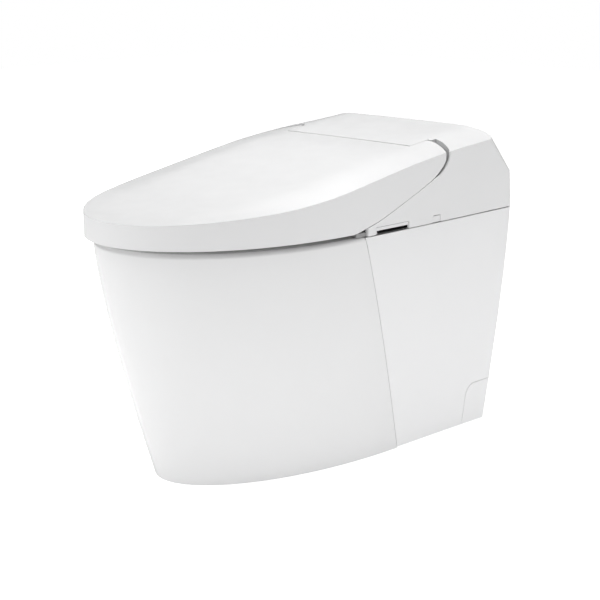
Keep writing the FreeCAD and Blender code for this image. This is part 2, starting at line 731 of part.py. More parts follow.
def status_window():
    """Dark window in the housing's front slope, set flush."""
    fit = 0.3
    rate = (SLOPE_HIGH_Z - SLOPE_LOW_Z) / (SLOPE_HIGH_Y - UNIT_FRONT_Y)
    y = (SLOPE_HIGH_Y - 48 + fit, SLOPE_HIGH_Y - 30 - fit)
    top = [slope_z(v, 0) for v in y]
    thick = UNIT_WALL * math.hypot(1, rate)
    return prism_x([(y[0], top[0] - thick), (y[1], top[1] - thick), (y[1], top[1]), (y[0], top[0])],
                   (-34 + fit, 34 - fit))


def port_cut(x):
    return box(x, (NOSE_BLOCK_FRONT_Y - 5, NOSE_BLOCK_FRONT_Y + NOSE_BLOCK_WALL + 1), PORT_Z)


def unit_base():
    low = DECK_Z + UNIT_GAP
    plate = upper_envelope(UNIT_WALL + 0.3)
    step_y = UNIT_FRONT_Y + UNIT_WALL + PART_GAP
    plate = plate.common(box((-HALF, HALF), (step_y, REAR_Y), (low, low + UNIT_PLATE)))
    x = NOSE_BLOCK_HALF
    c = NOSE_BLOCK_CHAMFER
    w = NOSE_BLOCK_WALL
    y = (NOSE_BLOCK_FRONT_Y, NOSE_BLOCK_REAR_Y)
    z = (NOSE_BLOCK_LOW_Z, low + UNIT_PLATE)
    step_z = low - 0.2
    nose = prism_x([(y[0], z[0] + c), (y[0] + c, z[0]), (y[1], z[0]), (y[1], z[1]), (step_y, z[1]),
                    (step_y, step_z), (y[0], step_z)], (-x, x))
    room = prism_x([(y[0] + w, z[0] + c + w / 2), (y[0] + c + w / 2, z[0] + w), (y[1] - w, z[0] + w),
                    (y[1] - w, step_z - w), (y[0] + w, step_z - w)], (-x + w, x - w))
    link = box((-x + w, x - w), (step_y + 2, y[1] - w), (low - 10, low + UNIT_PLATE + 1))
    guide_cut = wand_rod(0, 80, WAND_R + WAND_PLAY + GUIDE_WALL + 1.5)
    guide_slot = guide_cut.common(box((-40, 40), (UNIT_FRONT_Y + UNIT_WALL, 120), (DECK_Z - 5, DECK_Z + 30)))
    port = wand_rod(-20, 14, WAND_CAP_R + 0.5)
    way = wand_rod(0, 60, WAND_R + WAND_PASS)
    tab_x = upper_half(TAB_Y[1]) - 2.5 - TAB_DEPTH - 5.0
    tab_notch = box((tab_x, HALF), (TAB_Y[0] - 1.5, TAB_Y[1] + 1.5), (low - 1, low + UNIT_PLATE + 1))
    filter_notch = box((HALF - FINGER_DEPTH - 2 * FILTER_WALL, HALF),
                       (FILTER_BODY_Y[0] - FILTER_GAP, FILTER_BODY_Y[1] + FILTER_GAP),
                       (low - 1, low + UNIT_PLATE + 1))
    dryer_port = port_cut((-PORT_X[1], -PORT_X[0]))
    base = plate.fuse(nose).cut([room, link, guide_slot, port, way, tab_notch, filter_notch, dryer_port])
    bars = 6
    pitch = (PORT_X[1] - PORT_X[0]) / bars
    for i in range(bars):
        x0 = PORT_X[0] + i * pitch
        base = base.cut(port_cut((x0 + pitch * 0.2, x0 + pitch * 0.75)))
    return base


def filter_face():
    """White face of the filter, open downwards for a finger."""
    face = box((HALF - FILTER_FACE - FILTER_SET_BACK, HALF - FILTER_SET_BACK), FILTER_Y, FILTER_Z)
    x = (HALF - FILTER_FACE - 1, HALF + 1)
    mouth = box(x, FILTER_SLOT_Y, (FILTER_Z[0] - 1, FILTER_SLOT_HIGH_Z))
    notch = box(x, (FILTER_SLOT_Y[1] - NOTCH_WIDE, FILTER_SLOT_Y[1]), (FILTER_Z[0], NOTCH_HIGH_Z))
    return face.cut([mouth, notch])


def filter_cartridge():
    """Dark deodoriser cartridge behind the face, hollowed for its filter block and for a finger."""
    g = FILTER_GAP
    w = FILTER_WALL
    low = DECK_Z + UNIT_GAP + UNIT_PLATE + g
    high = FILTER_Z[1] - g
    front = HALF - FILTER_FACE - FILTER_SET_BACK
    y_in = (FILTER_BODY_Y[0] + w, FILTER_BODY_Y[1] - w)
    body = box((FILTER_INNER_X, front), FILTER_BODY_Y, (low, high))
    grip = box((HALF - FINGER_DEPTH - w, front), FILTER_BODY_Y, (FILTER_Z[0], high))
    room = box((FILTER_INNER_X + w, HALF - FINGER_DEPTH - w), y_in, (low + w, high - w))
    finger = box((HALF - FINGER_DEPTH, front + 1), y_in, (FILTER_Z[0] + FINGER_FLOOR, FILTER_SLOT_HIGH_Z))
    return body.fuse(grip).cut([room, finger])


def release_tab():
    outer = upper_half(TAB_Y[1])
    face = box((outer - TAB_DEPTH, outer - 0.1), TAB_Y, TAB_Z)
    cup = rod_x((outer - TAB_DEPTH - 1, outer - 2.5), sum(TAB_Y) / 2, sum(TAB_Z) / 2, SPRING_R + SPRING_WIRE)
    return face.cut(cup)


def release_spring():
    """Coil spring behind the release tab."""
    outer = upper_half(TAB_Y[1])
    length = TAB_DEPTH + 5.0
    start = V(outer - 2.5 - length, sum(TAB_Y) / 2, sum(TAB_Z) / 2)
    helix = Part.makeHelix(length / SPRING_TURNS, length - 2 * SPRING_WIRE, SPRING_R)
    profile = Part.Wire(Part.makeCircle(SPRING_WIRE / 2, V(SPRING_R, 0, 0), V(0, 1, 0)))
    coil = helix.makePipeShell([profile], True, True)
    coil.rotate(V(0, 0, 0), V(0, 1, 0), 90)
    coil.translate(start + V(SPRING_WIRE, 0, 0))
    return coil


def spring_post():
    """Upright on the base plate that the release spring pushes against."""
    outer = upper_half(TAB_Y[1])
    x = outer - 2.5 - TAB_DEPTH - 5.0
    low = DECK_Z + UNIT_GAP + UNIT_PLATE
    return box((x - 4, x - 0.2), TAB_Y, (low, TAB_Z[1] + 3))


# Wand
def wand_tube():
    return wand_rod(WAND_TIP, WAND_LENGTH, WAND_R).cut(wand_rod(WAND_TIP - 1, WAND_LENGTH + 1, WAND_BORE_R))


def wand_tip():
    head = wand_rod(1.0, WAND_TIP, WAND_R)
    neck = wand_rod(WAND_TIP, WAND_TIP + 8, WAND_BORE_R)
    up = (along_wand(1) - along_wand(0)).cross(V(1, 0, 0)).normalize()
    if up.z < 0:
        up = up * -1
    jets = [Part.makeCylinder(0.9, WAND_R + 2, along_wand(d), up) for d in (8.0, 12.0, 16.0)]
    return head.fuse(neck).cut(jets)


def wand_cap():
    return wand_rod(-WAND_CAP_THICK + 1.0, 1.0, WAND_CAP_R)


def wand_housing():
    """Guide tube for the wand, with a foot on the base plate."""
    low = DECK_Z + UNIT_GAP + UNIT_PLATE
    outer = wand_rod(GUIDE_START, GUIDE_END, WAND_R + WAND_PLAY + GUIDE_WALL)
    foot = box((-6, 6), (66, 90), (low, along_wand(90).z))
    foot = foot.cut(wand_rod(0, WAND_LENGTH + 60, WAND_R + WAND_PLAY + GUIDE_WALL - 0.5))
    pad = box((-12, 12), (66, 90), (low, low + 3))
    return outer.fuse([foot, pad]).cut(wand_rod(0, GUIDE_END - 2, WAND_R + WAND_PLAY))


def wand_motor():
    y = 78.0
    z = along_wand(92).z
    x0 = WAND_R + WAND_PLAY + GUIDE_WALL + 0.3
    can = rod_x((x0 + 4, x0 + 4 + WAND_MOTOR_LENGTH), y, z - 18, WAND_MOTOR_R)
    flange = box((x0, x0 + 4), (y - 15, y + 15), (DECK_Z + UNIT_GAP + UNIT_PLATE + 3, z - 6))
    return can.fuse(flange)


# Fans
def fan_housing(x, r):
    """Round scroll with a forward outlet."""
    z = (FAN_LOW_Z, FAN_LOW_Z + FAN_HEIGHT)
    w = FAN_WALL
    s = 1 if x > 0 else -1
    throat = sorted((x, x - s * (r - 2)))
    outer = rod_z(x, FAN_Y, z, r).fuse(box(throat, (FAN_Y - r - 10, FAN_Y), z))
    inner = rod_z(x, FAN_Y, (z[0] + w, z[1] - w), r - w)
    inner = inner.fuse(box((throat[0] + w, throat[1] - w), (FAN_Y - r - 11, FAN_Y), (z[0] + w, z[1] - w)))
    eye = rod_z(x, FAN_Y, (z[1] - w - 1, z[1] + 1), r * 0.45)
    seat = rod_z(x, FAN_Y, (z[0], z[0] + 5), FAN_SHAFT_R + 2)
    shaft = rod_z(x, FAN_Y, (z[0] - 1, z[0] + 6), FAN_SHAFT_R + PIN_CLEARANCE)
    feet = rod_z(x, FAN_Y, (DECK_Z + UNIT_GAP + UNIT_PLATE, z[0]), 14)
    return outer.cut(inner).cut(eye).fuse([seat, feet]).cut(shaft)


def fan_rotor(x, r):
    w = FAN_WALL
    low = FAN_LOW_Z + 5 + ROTOR_PLAY
    high = FAN_LOW_Z + FAN_HEIGHT - w - ROTOR_PLAY
    reach = r - w - 2 * ROTOR_PLAY
    hub = rod_z(x, FAN_Y, (low, high), 7).fuse(rod_z(x, FAN_Y, (FAN_LOW_Z + 0.5, low + 1), FAN_SHAFT_R))
    disc = rod_z(x, FAN_Y, (low, low + 1.6), reach)
    blades = []
    for i in range(FAN_BLADES):
        blade = box((x + reach * BLADE_ROOT, x + reach - 0.5), (FAN_Y - BLADE_HALF, FAN_Y + BLADE_HALF),
                    (low + 1, high))
        blade.rotate(V(x + reach * BLADE_PIVOT, FAN_Y, 0), V(0, 0, 1), BLADE_PITCH)
        blade.rotate(V(x, FAN_Y, 0), V(0, 0, 1), 360 / FAN_BLADES * i)
        blades.append(blade)
    rotor = hub.fuse([disc] + blades)
    return rotor.common(rod_z(x, FAN_Y, (FAN_LOW_Z, high), reach))


def dryer_duct():
    """Warm-air duct from the dryer fan down to the port in the nose."""
    x = (-PORT_X[1] + 1.0, -PORT_X[0] - 1.0)
    w = DUCT_WALL
    back = FAN_Y - DRYER_R - 10.3
    z = (FAN_LOW_Z, FAN_LOW_Z + 22)
    y = (NOSE_BLOCK_FRONT_Y + NOSE_BLOCK_WALL + 0.5, NOSE_BLOCK_REAR_Y - NOSE_BLOCK_WALL - 0.5)
    low = PORT_Z[0] - 1
    throat_y = UNIT_FRONT_Y + UNIT_WALL + 2.5
    roof = slope_z(throat_y, UNIT_WALL) - 1.5
    outer = [(y[0], low), (y[1], low), (y[1], z[0]), (back, z[0]), (back, z[1]), (back - 16, z[1]),
             (throat_y, roof), (throat_y, PORT_Z[1] + 2), (y[0], PORT_Z[1] + 2)]
    inner = [(y[0] - 1, low + w), (y[1] - w, low + w), (y[1] - w, z[0] + w), (back + 1, z[0] + w),
             (back + 1, z[1] - w), (back - 16, z[1] - w), (throat_y + w, roof - w),
             (throat_y + w, PORT_Z[1] + 2 - w), (y[0] - 1, PORT_Z[1] + 2 - w)]
    return prism_x(outer, x).cut(prism_x(inner, (x[0] + w, x[1] - w)))


def dryer_flap():
    g = FLAP_GAP
    x = (-PORT_X[1] + g, -PORT_X[0] - g)
    y = NOSE_BLOCK_FRONT_Y
    plate = box(x, (y, y + FLAP_THICK), (PORT_Z[0] + g, PORT_Z[1] - g))
    edge_z = PORT_Z[1] - g - FLAP_PIN_R
    knuckle = rod_x(x, y + FLAP_PIN_R, edge_z, FLAP_PIN_R)
    return plate.cut(box(x, (y - 1, y + FLAP_THICK + 1), (edge_z, edge_z + 5))).fuse(knuckle)


# Seat and lid
def seat_plan(inset, z):
    """Seat outline without its opening."""
    low, high = z
    ring = upper_wire(low, REAR_Y - inset, REAR_CORNER_R, inset)
    block = Part.Face(ring).extrude(V(0, 0, high - low))
    return block.common(box((-HALF, HALF), (FRONT_Y, SEAT_REAR_Y - (inset - SEAT_INSET)), z))


def seat_hole(grow, z):
    wire = oval(SEAT_HOLE_Y, SEAT_HOLE_LENGTH + grow, SEAT_HOLE_WIDTH + grow, z[0], SEAT_HOLE_POWER)
    return Part.Face(wire).extrude(V(0, 0, z[1] - z[0]))


def seat_arm():
    """Swan-neck arm from the ring up to the hinge eye."""
    dy = HINGE_Y - ARM_FOOT[0]
    dz = HINGE_Z - ARM_FOOT[1]
    length = math.hypot(dy, dz)
    ny = -dz / length * ARM_THICK / 2
    nz = dy / length * ARM_THICK / 2

    def bar(y, x):
        z = ARM_FOOT[1] + dz * (y - ARM_FOOT[0]) / dy
        return prism_x([(ARM_FOOT[0] + ny, ARM_FOOT[1] + nz), (ARM_FOOT[0] - ny, ARM_FOOT[1] - nz),
                        (y - ny, z - nz), (y + ny, z + nz)], x)

    wide = bar(ARM_STEP_Y, (ARM_INNER_X, EYE_X[1]))
    narrow = bar(HINGE_Y, EYE_X)
    eye = rod_x(EYE_X, HINGE_Y, HINGE_Z, EYE_R)
    hole = rod_x((EYE_X[0] - 1, EYE_X[1] + 1), HINGE_Y, HINGE_Z, PIN_R + PIN_CLEARANCE)
    over = box((0, HALF), (FRONT_Y, SEAT_REAR_Y), (0, SEAT_HIGH_Z - SEAT_WALL / 2))
    return wide.fuse([narrow, eye]).cut([hole, over])


def seat_top():
    z = (SEAT_SPLIT_Z, SEAT_HIGH_Z)
    ring = seat_plan(SEAT_INSET, z).cut(seat_hole(0.0, z))
    rims = [e for e in ring.Edges if e.BoundBox.ZMin > SEAT_HIGH_Z - 0.01]
    ring = ring.makeFillet(SEAT_ROUND, rims)
    z_in = (SEAT_SPLIT_Z - 1, SEAT_HIGH_Z - SEAT_WALL)
    inset = SEAT_ROUND * 0.6 + SEAT_WALL
    hollow = seat_plan(SEAT_INSET + inset, z_in).cut(seat_hole(inset, z_in))
    return ring.cut(hollow).fuse(both_sides(seat_arm()))


def seat_base():
    z = (SEAT_LOW_Z, SEAT_SPLIT_Z)
    return seat_plan(SEAT_INSET + 0.6, z).cut(seat_hole(0.6, z))


def seat_heater():
    high = SEAT_HIGH_Z - SEAT_WALL - 0.2
    z = (high - HEATER_THICK, high)
    inset = SEAT_ROUND * 0.6 + SEAT_WALL + 2.0
    return seat_plan(SEAT_INSET + inset, z).cut(seat_hole(inset, z))


def seat_bumpers():
    z = (DECK_Z + BUMPER_GAP, SEAT_LOW_Z)
    pads = [rod_z(s * x, y, z, BUMPER_R) for x, y in SEAT_BUMPERS for s in (1, -1)]
    side = box((SIDE_PAD_X[0], HALF - SEAT_INSET - 1), SIDE_PAD_Y, z)
    side = side.fuse(box(SIDE_PAD_X, SIDE_PAD_Y, (z[0], SIDE_PAD_HIGH_Z)))
    return Part.makeCompound(pads + [side, mirrored(side)])


def lid_region(gap):
    """What lies over the cheek edge and in front of the parting line and the ears' edges."""
    high = FACET_TOP_Z + 30
    lifted = [(y - 0.5 * gap, z + gap) for y, z in CHEEK_EDGE]
    corners = [(REAR_Y, EAR_UNDER_Z), (REAR_Y, 0), (FRONT_Y - 5, 0), (FRONT_Y - 5, lifted[0][1])]
    under = curved_prism_x(lifted, corners, (-HALF - 5, HALF + 5))
    ears = curved_prism_z([(x, y - gap) for x, y in EAR_EDGE],
                          [(HALF + 5, FRONT_Y - 5), (EAR_INNER_X + gap, FRONT_Y - 5)], (0, high))
    middle = box((-EAR_INNER_X - 1 - gap, EAR_INNER_X + 1 + gap), (FRONT_Y - 5, PARTING_Y - gap), (0, high))
    return both_sides(ears).fuse(middle).cut(under)


def lid_cover():
    region = lid_region(0.0)
    outside = upper_envelope(0.0).cut(above_top(0.0)).common(region)
    inside = upper_envelope(LID_WALL).cut(above_top(LID_WALL))
    shell = outside.cut(inside)
    boss = rod_x(BOSS_X, HINGE_Y, HINGE_Z, BOSS_R)
    web = box(BOSS_X, (HINGE_Y - 4, HINGE_Y + 4), (HINGE_Z, HINGE_Z + 16)).common(outside)
    hole = rod_x((BOSS_X[0] - 1, BOSS_X[1] + 1), HINGE_Y, HINGE_Z, PIN_R + PIN_CLEARANCE)
    return shell.fuse(both_sides(boss.fuse(web))).cut(both_sides(hole))


def lid_liner():
    drop = LID_WALL + LINER_DROP
    inset = LID_WALL + LINER_GAP
    area = lid_region(2.5).common(box((-HALF, HALF), (FRONT_Y, LINER_REAR_Y), (LINER_LOW_Z, LENGTH)))
    outside = upper_envelope(inset).cut(above_top(drop)).common(area)
    inside = upper_envelope(inset + LINER_WALL).cut(above_top(drop + LINER_WALL))
    return outside.cut(inside)


def lid_bumpers():
    under = above_top(LID_WALL + LINER_DROP + LINER_WALL + 0.05)
    pads = [rod_z(s * x, y, (SEAT_HIGH_Z + BUMPER_GAP, DECK_Z + 90), BUMPER_R).cut(under)
            for x, y in LID_BUMPERS for s in (1, -1)]
    return Part.makeCompound(pads)


def hinge_pins():
    pin = rod_x((DAMPER_X[1] + 0.2, BOSS_X[1] - 4), HINGE_Y, HINGE_Z, PIN_R)
    return Part.makeCompound([pin, mirrored(pin)])


def hinge_dampers():
    barrel = rod_x(DAMPER_X, HINGE_Y, HINGE_Z, EYE_R - 0.3)
    return Part.makeCompound([barrel, mirrored(barrel)])


# Inside the unit
def control_board():
    low = DECK_Z + UNIT_GAP + UNIT_PLATE
    board = box((40, 150), (232, 320), (low + 6, low + 7.6))
    posts = [rod_z(x, y, (low, low + 6), 3.5) for x in (46, 144) for y in (238, 314)]
    chips = [box((x, x + a), (y, y + b), (low + 7.6, low + 7.6 + h))
             for x, y, a, b, h in ((60, 250, 22, 22, 3), (100, 246, 30, 14, 9), (64, 288, 16, 20, 14),
                                   (104, 282, 12, 26, 11), (128, 284, 12, 24, 8))]
    return board.fuse(posts + chips)


def power_supply():
    low = DECK_Z + UNIT_GAP + UNIT_PLATE
    can = box((-40, 32), (250, 330), (low, low + 40))
    return can.makeFillet(4.0, [e for e in can.Edges if abs(e.tangentAt(e.FirstParameter).z) > 0.9])


def heat_exchanger():
    low = DECK_Z + UNIT_GAP + UNIT_PLATE
    block = box((-52, 20), (165, 235), (low, low + 46))
    block = block.makeFillet(8.0, [e for e in block.Edges if abs(e.tangentAt(e.FirstParameter).z) > 0.9])
    stubs = [rod_y(x, (156, 168), low + 30, 5) for x in (-38, -12)]
    return block.fuse(stubs)


def inlet_valve():
    """Solenoid valve for the wash water, at the rear left of the unit."""
    low = DECK_Z + UNIT_GAP + UNIT_PLATE
    body = box((-130, -84), (250, 286), (low, low + 24))
    coil = rod_z(-107, 268, (low + 24, low + 52), 14)
    return body.fuse([coil, rod_y(-94, (284, 300), low + 12, 6), rod_y(-94, (236, 252), low + 12, 5)])


def unit_bracket():
    """Metal rail on the ceramic shelf that the unit's base plate is screwed to."""
    z = (DECK_Z, DECK_Z + UNIT_GAP)
    rail = both_sides(box((104, 150), (60, 260), z))
    return Part.makeCompound(rail.Solids)


def unit_screws():
    screws = []
    low = DECK_Z + UNIT_GAP + UNIT_PLATE
    for x in (127.0, -127.0):
        for y in (96.0, 240.0):
            screws.append(rod_z(x, y, (low, low + SCREW_HEAD), SCREW_HEAD_R))
    return Part.makeCompound(screws)


# Inside the rear of the body
def reservoir_tank():
    tank = box(TANK_X, TANK_Y, TANK_Z)
    tank = tank.makeFillet(TANK_ROUND, tank.Edges)
    w = TANK_WALL
    inner = box(*[(low + w, high - w) for low, high in (TANK_X, TANK_Y, TANK_Z)])
    inner = inner.makeFillet(TANK_ROUND - w, inner.Edges)
    x = sum(TANK_X) / 2
    y = sum(TANK_Y) / 2
    neck = rod_z(x, y, (TANK_Z[1] - w - 1, DECK_Z - DECK_THICK - PART_GAP), TANK_NECK_R)
    neck = neck.cut(rod_z(x, y, (TANK_Z[1] - w - 1, DECK_Z), TANK_NECK_R - 2 * w + 2))
    return tank.cut(inner).fuse(neck)


def flush_pump():
    body = rod_z(PUMP_X, PUMP_Y, (PUMP_LOW_Z, PUMP_LOW_Z + PUMP_HEIGHT), PUMP_R - 4)
    volute = rod_z(PUMP_X, PUMP_Y, (PUMP_LOW_Z, PUMP_LOW_Z + 28), PUMP_R)
    reach = PUMP_FOOT / 2
    foot = box((PUMP_X - reach, -WEB_X - WEB_THICK - PART_GAP), (PUMP_Y - reach, PUMP_Y + reach),
               (PUMP_LOW_Z - 5, PUMP_LOW_Z))
    spout = rod_y(PUMP_X + SPOUT_X, (PUMP_Y - SPOUT_REACH, PUMP_Y), PUMP_LOW_Z + SPOUT_Z, JET_R)
    return union([body, volute, foot, spout])


def jet_pipe():
    """Hose from the flush pump forward to the jet at the sump."""
    x = PUMP_X + SPOUT_X
    z = PUMP_LOW_Z + SPOUT_Z
    end = -BASIN_LEVELS[-1][2] - BASIN_WALL - JET_SPIGOT - PART_GAP
    y = BASIN_Y + BASIN_LEVELS[-1][3]
    points = [V(x, PUMP_Y - SPOUT_REACH - PART_GAP, z), V(x, 40, z), V(x - 4, -60, z + 8),
              V(end - 32, y, JET_Z), V(end, y, JET_Z)]
    return turned_tube(points, JET_R, (60.0, 60.0, 26.0))


def supply_elbow():
    """Brass inlet fitting at the rear with its lock nut."""
    thread = rod_y(INLET_X, (INLET_FACE_Y - INLET_THREAD, INLET_FACE_Y), INLET_Z, INLET_R)
    behind = INLET_FACE_Y - INLET_THREAD
    nut = rod_y(INLET_X, (behind - NUT_THICK, behind), INLET_Z, NUT_R)
    stub = rod_y(INLET_X, (INLET_FACE_Y - INLET_LENGTH, behind - NUT_THICK), INLET_Z, STUB_R)
    bore = rod_y(INLET_X, (INLET_FACE_Y - INLET_LENGTH + 12, INLET_FACE_Y + 1), INLET_Z, INLET_BORE_R)
    return union([thread, nut, stub]).cut(bore)


def supply_hose():
    """Braided hose from the inlet fitting up to the shelf."""
    y = INLET_FACE_Y - INLET_LENGTH - PART_GAP
    points = [V(INLET_X, y, INLET_Z), V(INLET_X, y - 34, INLET_Z), V(INLET_X - 3, y - 40, INLET_Z + 100),
              V(INLET_X - 6, y + 6, VALVE_Z), V(INLET_X - 6, y + 8, DECK_Z - DECK_THICK - 20.5)]
    return turned_tube(points, HOSE_R, (26.0, 80.0, 60.0))


def service_panel():
    """Metal panel behind the service opening that holds the inlet fitting and the cable gland."""
    rear = INLET_FACE_Y - INLET_THREAD - NUT_THICK
    y = (rear - PANEL_THICK, rear)
    plate = box((-62, 62), y, (95, 330))
    wings = both_sides(box((WEB_X, WEB_X + 3), (WEB_REAR_Y + 0.3, y[1]), (200, 320)))
    through = (y[0] - 1, y[1] + 1)
    holes = [rod_y(INLET_X, through, INLET_Z, STUB_R), rod_y(GLAND_X, through, GLAND_Z, GLAND_R)]
    return plate.fuse(wings).cut(holes)


def cable_gland():
    y = INLET_FACE_Y - INLET_THREAD - NUT_THICK - PANEL_THICK
    body = rod_y(GLAND_X, (y - 6, y + GLAND_LENGTH - 6), GLAND_Z, GLAND_R)
    nut = rod_y(GLAND_X, (y + 3, y + 9), GLAND_Z, GLAND_R + 3)
    return body.fuse(nut).cut(rod_y(GLAND_X, (y - 7, y + GLAND_LENGTH), GLAND_Z, GLAND_BORE_R))


def cover_screws():
    """Screws through the service panel's wings into the ceramic webs."""
    screws = []
    for s in (-1, 1):
        for z in (220.0, 300.0):
            screws.append(rod_x(sorted((s * (WEB_X + 3), s * (WEB_X + 3 + SCREW_HEAD))), WEB_REAR_Y + 30, z,
                                SCREW_HEAD_R))
    return Part.makeCompound(screws)


def parts():
    cover = side_cover()
    plate = corner_plate()
    yield "ceramic_bowl", ceramic_bowl()
    yield "outlet_seal", outlet_seal()
    yield "side_cover_right", cover
    yield "side_cover_left", mirrored(cover)
    yield "corner_plate_right", plate
    yield "corner_plate_left", mirrored(plate)
    yield "cover_clips", cover_clips()
    yield "top_cover", top_cover()
    yield "status_window", status_window()
    yield "unit_base", unit_base()
    yield "filter_face", filter_face()
    yield "filter_cartridge", filter_cartridge()
    yield "release_tab", release_tab()
    yield "release_spring", release_spring()
    yield "spring_post", spring_post()
    yield "wand_tube", wand_tube()
    yield "wand_tip", wand_tip()
    yield "wand_cap", wand_cap()
    yield "wand_housing", wand_housing()
    yield "wand_motor", wand_motor()
    yield "dryer_fan_housing", fan_housing(DRYER_X, DRYER_R)
    yield "dryer_fan_rotor", fan_rotor(DRYER_X, DRYER_R)
    yield "dryer_duct", dryer_duct()
    yield "dryer_flap", dryer_flap()
    yield "deodoriser_fan_housing", fan_housing(DEODORISER_X, DEODORISER_R)
    yield "deodoriser_fan_rotor", fan_rotor(DEODORISER_X, DEODORISER_R)
    yield "seat_top", seat_top()
    yield "seat_base", seat_base()
    yield "seat_heater", seat_heater()
    yield "seat_bumpers", seat_bumpers()
    yield "lid_cover", lid_cover()
    yield "lid_liner", lid_liner()
    yield "lid_bumpers", lid_bumpers()
    yield "hinge_pins", hinge_pins()
    yield "hinge_dampers", hinge_dampers()
    yield "control_board", control_board()
    yield "power_supply", power_supply()
    yield "heat_exchanger", heat_exchanger()
    yield "inlet_valve", inlet_valve()
    yield "unit_bracket", unit_bracket()
    yield "unit_screws", unit_screws()
    yield "reservoir_tank", reservoir_tank()
    yield "flush_pump", flush_pump()
    yield "jet_pipe", jet_pipe()
    yield "supply_elbow", supply_elbow()
    yield "supply_hose", supply_hose()
    yield "service_panel", service_panel()
    yield "cable_gland", cable_gland()
    yield "cover_screws", cover_screws()


os.makedirs("parts", exist_ok=True)
for name, shape in parts():
    shape.exportStep(os.path.join("parts", name + ".step"))
    print(f"{name}: {len(shape.Solids)} solids, {shape.Volume / 1000:.1f} cm3, valid {shape.isValid()}")
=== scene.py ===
"""Looks of a floor-standing smart toilet with a heated seat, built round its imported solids.

Everything is in metres in the solids' own frame: +X is the side with the filter slot,
-Y is the front and +Z is up.
"""
import json
import math

import bpy
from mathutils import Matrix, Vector

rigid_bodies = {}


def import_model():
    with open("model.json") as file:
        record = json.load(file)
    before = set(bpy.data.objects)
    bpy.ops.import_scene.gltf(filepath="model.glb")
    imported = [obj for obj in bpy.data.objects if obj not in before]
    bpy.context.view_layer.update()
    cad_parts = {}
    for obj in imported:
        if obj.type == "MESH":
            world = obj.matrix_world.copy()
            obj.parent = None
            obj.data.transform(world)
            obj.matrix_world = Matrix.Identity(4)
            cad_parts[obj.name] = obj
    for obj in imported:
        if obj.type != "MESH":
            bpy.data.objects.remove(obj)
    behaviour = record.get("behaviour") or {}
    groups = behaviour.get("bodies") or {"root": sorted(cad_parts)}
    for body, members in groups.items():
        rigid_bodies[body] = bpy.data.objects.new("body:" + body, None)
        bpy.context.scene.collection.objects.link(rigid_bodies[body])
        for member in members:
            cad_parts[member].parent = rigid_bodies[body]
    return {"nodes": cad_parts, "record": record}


# Camera, solved from the photograph's outlines
IMAGE_WIDTH = 600
FOCAL_PIXELS = 1545.0
SENSOR = 36.0
CAMERA_PLACE = (1.6845, -1.6853, 0.8114)
CAMERA_AHEAD = (-0.67884, 0.69599, -0.23404)
CAMERA_REACH = 50.0

# Studio: a white table that glows, more so to the camera and less so in reflections
FLOOR_SIZE = 12.0
FLOOR_COLOUR = (0.92, 0.92, 0.92)
FLOOR_GLOW = 0.56
FLOOR_LIFT = 0.14
FLOOR_DIM = 0.44

# Surround: its strength at the horizon and overhead, and the sides from which it is dimmer
DOME_LOW = 0.46
DOME_HIGH = 0.56
DIM_SIDES = (((0.80, -0.60, 0.05), 0.42), ((-0.85, 0.40, 0.05), 0.44))
DIM_SHARPNESS = 2.0

# Square softboxes, all aimed at the body: name, place, side and watts
LAMP_AIM = (0.0, 0.0, 0.25)
SOFTBOXES = (
    ("left_box", (-1.0, -1.7, 2.1), 1.6, 9.5),
    ("top_box", (0.0, 0.0, 2.4), 1.8, 33.5),
    ("back_box", (-1.4, 0.8, 2.6), 1.6, 8.0),
)

# The part of a noise texture's output that is used as its full swing
NOISE_LOW = 0.3
NOISE_HIGH = 0.7
BEVEL_SAMPLES = 4


def clear_scene():
    for thing in list(bpy.data.objects):
        bpy.data.objects.remove(thing)
    for mesh in list(bpy.data.meshes):
        bpy.data.meshes.remove(mesh)


clear_scene()
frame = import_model()
nodes = frame["nodes"]
bpy.context.view_layer.update()
scene = bpy.context.scene
scene.view_settings.view_transform = "Standard"


